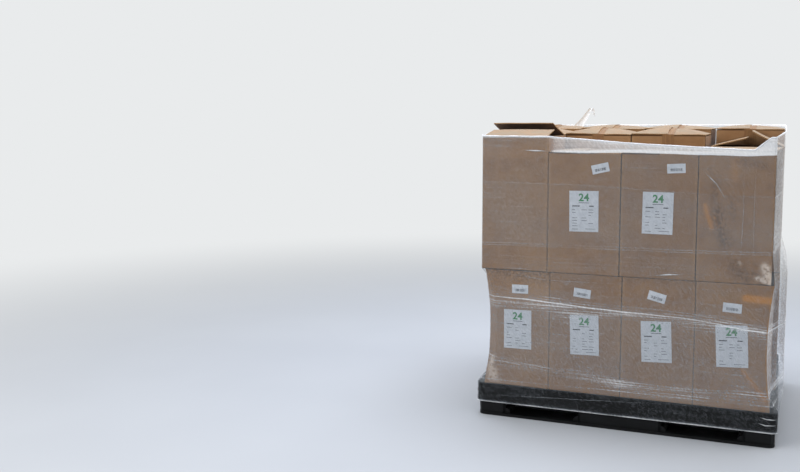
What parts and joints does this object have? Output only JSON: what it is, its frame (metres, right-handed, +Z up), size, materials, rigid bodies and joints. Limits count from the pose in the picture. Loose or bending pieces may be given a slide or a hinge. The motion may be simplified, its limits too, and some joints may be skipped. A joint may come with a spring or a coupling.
{
  "type": "stretch wrapped pallet load of cartons",
  "caption": "Two layers of brown cartons on a black plastic pallet, wound in clear stretch film, with two cartons standing open on top.",
  "frame": {"origin": "on the floor under the middle of the pallet", "axes": "+X along the pallet's long front, to the right of someone who faces the labels; +Y from that front to the back; +Z up"},
  "size_m": [1.2208, 1.0178, 1.3367],
  "materials": {
    "black_polyethylene": "moulded, scuffed, satin",
    "corrugated_board": "brown kraft liner, matt",
    "packing_tape": "brown polypropylene packing tape",
    "label_paper": "white coated label paper",
    "stretch_film": "clear, glossy, with hazy streaks"
  },
  "bodies": {
    "root": {"pallet_deck": "black_polyethylene", "pallet_base": "black_polyethylene", "lower_carton_front_1": "corrugated_board", "lower_carton_front_2": "corrugated_board", "lower_carton_front_3": "corrugated_board", "lower_carton_front_4": "corrugated_board", "lower_carton_middle_1": "corrugated_board", "lower_carton_middle_2": "corrugated_board", "lower_carton_middle_3": "corrugated_board", "lower_carton_middle_4": "corrugated_board", "lower_carton_rear_1": "corrugated_board", "lower_carton_rear_2": "corrugated_board", "lower_carton_rear_3": "corrugated_board", "lower_carton_rear_4": "corrugated_board", "upper_carton_front_1": "corrugated_board", "upper_carton_front_2": "corrugated_board", "upper_carton_front_3": "corrugated_board", "upper_carton_front_4": "corrugated_board", "upper_carton_middle_1": "corrugated_board", "upper_carton_middle_2": "corrugated_board", "upper_carton_middle_3": "corrugated_board", "upper_carton_middle_4": "corrugated_board", "upper_carton_rear_1": "corrugated_board", "upper_carton_rear_2": "corrugated_board", "upper_carton_rear_3": "corrugated_board", "upper_carton_rear_4": "corrugated_board", "carton_tape": "packing_tape", "shipping_labels": "label_paper", "barcode_stickers": "label_paper", "stretch_film": "stretch_film"}
  },
  "joints": []
}
